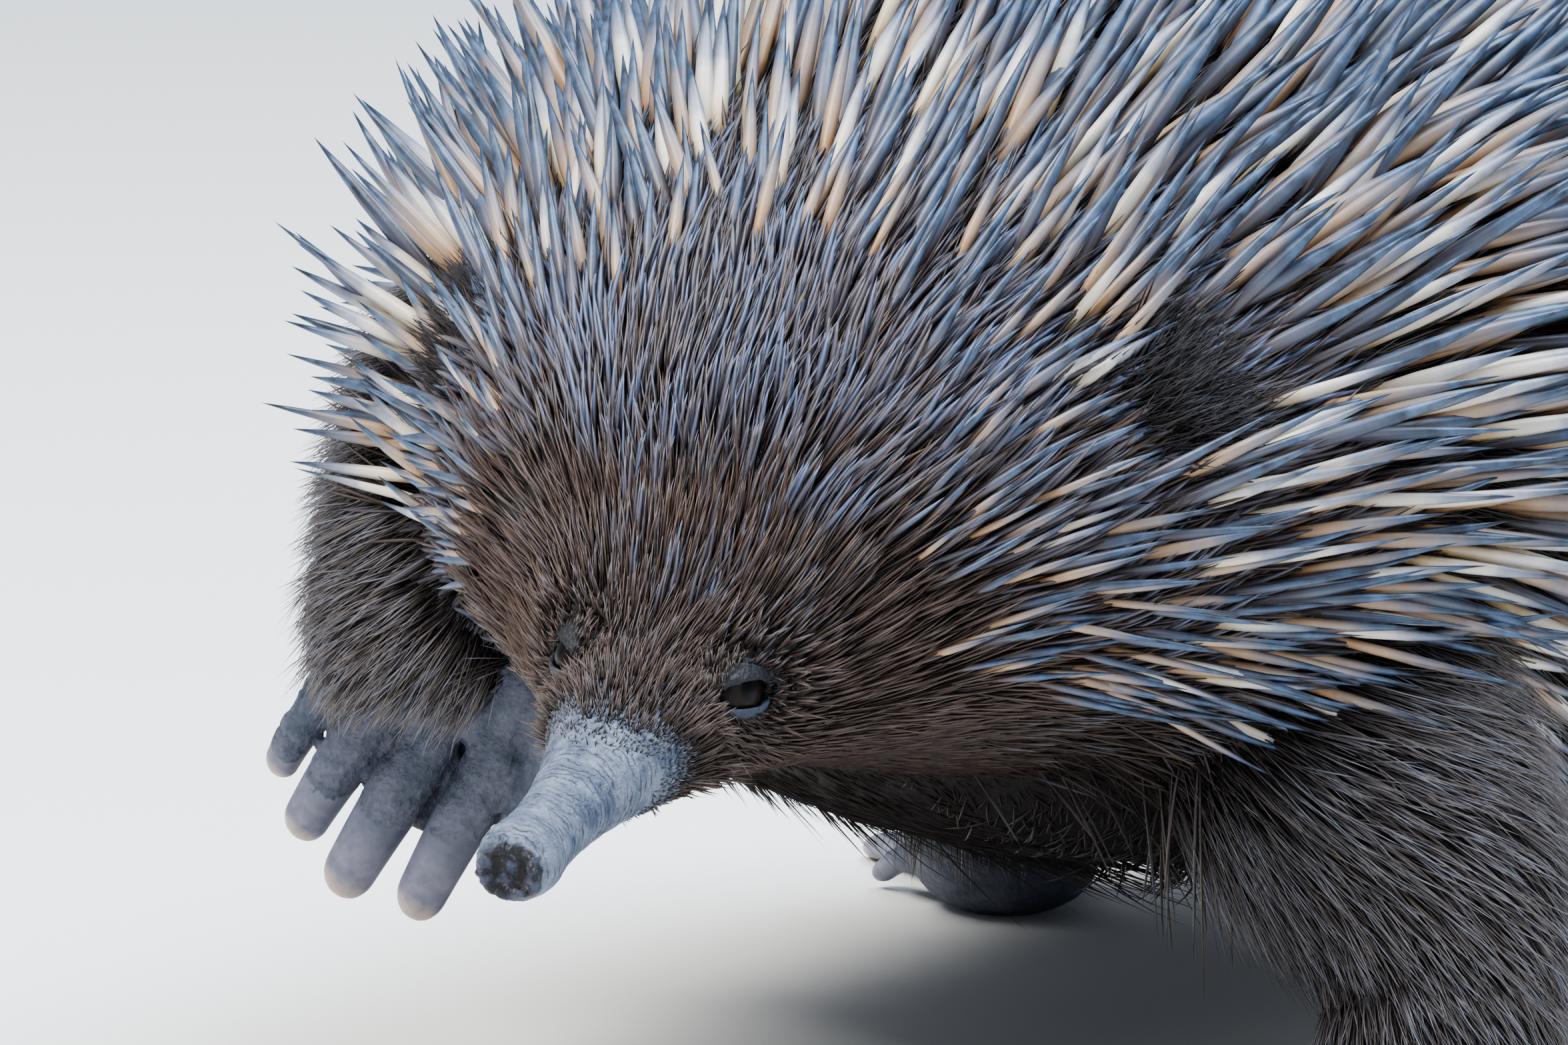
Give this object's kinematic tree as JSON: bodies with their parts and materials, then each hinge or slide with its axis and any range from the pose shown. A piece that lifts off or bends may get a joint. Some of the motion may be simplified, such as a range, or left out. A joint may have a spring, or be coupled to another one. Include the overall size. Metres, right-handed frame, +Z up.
{
  "type": "short-beaked echidna model",
  "caption": "Life-size short-beaked echidna with a bare beak, spiny back and broad digging claws, standing with its right forefoot lifted in mid step.",
  "frame": {"origin": "centre of the footprint of the whole animal, on the floor that its soles stand on", "axes": "the animal faces -Y, its left side is +X, +Z is up"},
  "size_m": [0.217, 0.4158, 0.1756],
  "materials": {
    "coat_spines": "keratin spines, satin, slate and cream",
    "coat_brown": "coarse dark brown hair, matte",
    "bare_skin": "wrinkled blue-grey skin, matte",
    "claw_horn": "worn horn, satin",
    "eye_dark": "wet, glossy, almost black"
  },
  "bodies": {
    "root": {"beak": "bare_skin", "head": "coat_brown", "neck": "coat_spines", "torso_fore": "coat_spines", "torso_hind": "coat_spines", "tail": "coat_spines", "eye_left": "eye_dark", "eye_right": "eye_dark", "ear_left": "coat_brown", "ear_right": "coat_brown", "foreleg_left": "coat_brown", "foreleg_right": "coat_brown", "hindleg_left": "coat_brown", "hindleg_right": "coat_brown", "forefoot_left": "bare_skin", "forefoot_right": "bare_skin", "hindfoot_left": "bare_skin", "hindfoot_right": "bare_skin", "claw_fore_left_1": "claw_horn", "claw_fore_left_2": "claw_horn", "claw_fore_left_3": "claw_horn", "claw_fore_left_4": "claw_horn", "claw_fore_left_5": "claw_horn", "claw_fore_right_1": "claw_horn", "claw_fore_right_2": "claw_horn", "claw_fore_right_3": "claw_horn", "claw_fore_right_4": "claw_horn", "claw_fore_right_5": "claw_horn", "claw_hind_left_1": "claw_horn", "claw_hind_left_2": "claw_horn", "claw_hind_left_3": "claw_horn", "claw_hind_left_4": "claw_horn", "claw_hind_left_5": "claw_horn", "claw_hind_right_1": "claw_horn", "claw_hind_right_2": "claw_horn", "claw_hind_right_3": "claw_horn", "claw_hind_right_4": "claw_horn", "claw_hind_right_5": "claw_horn"}
  },
  "joints": []
}
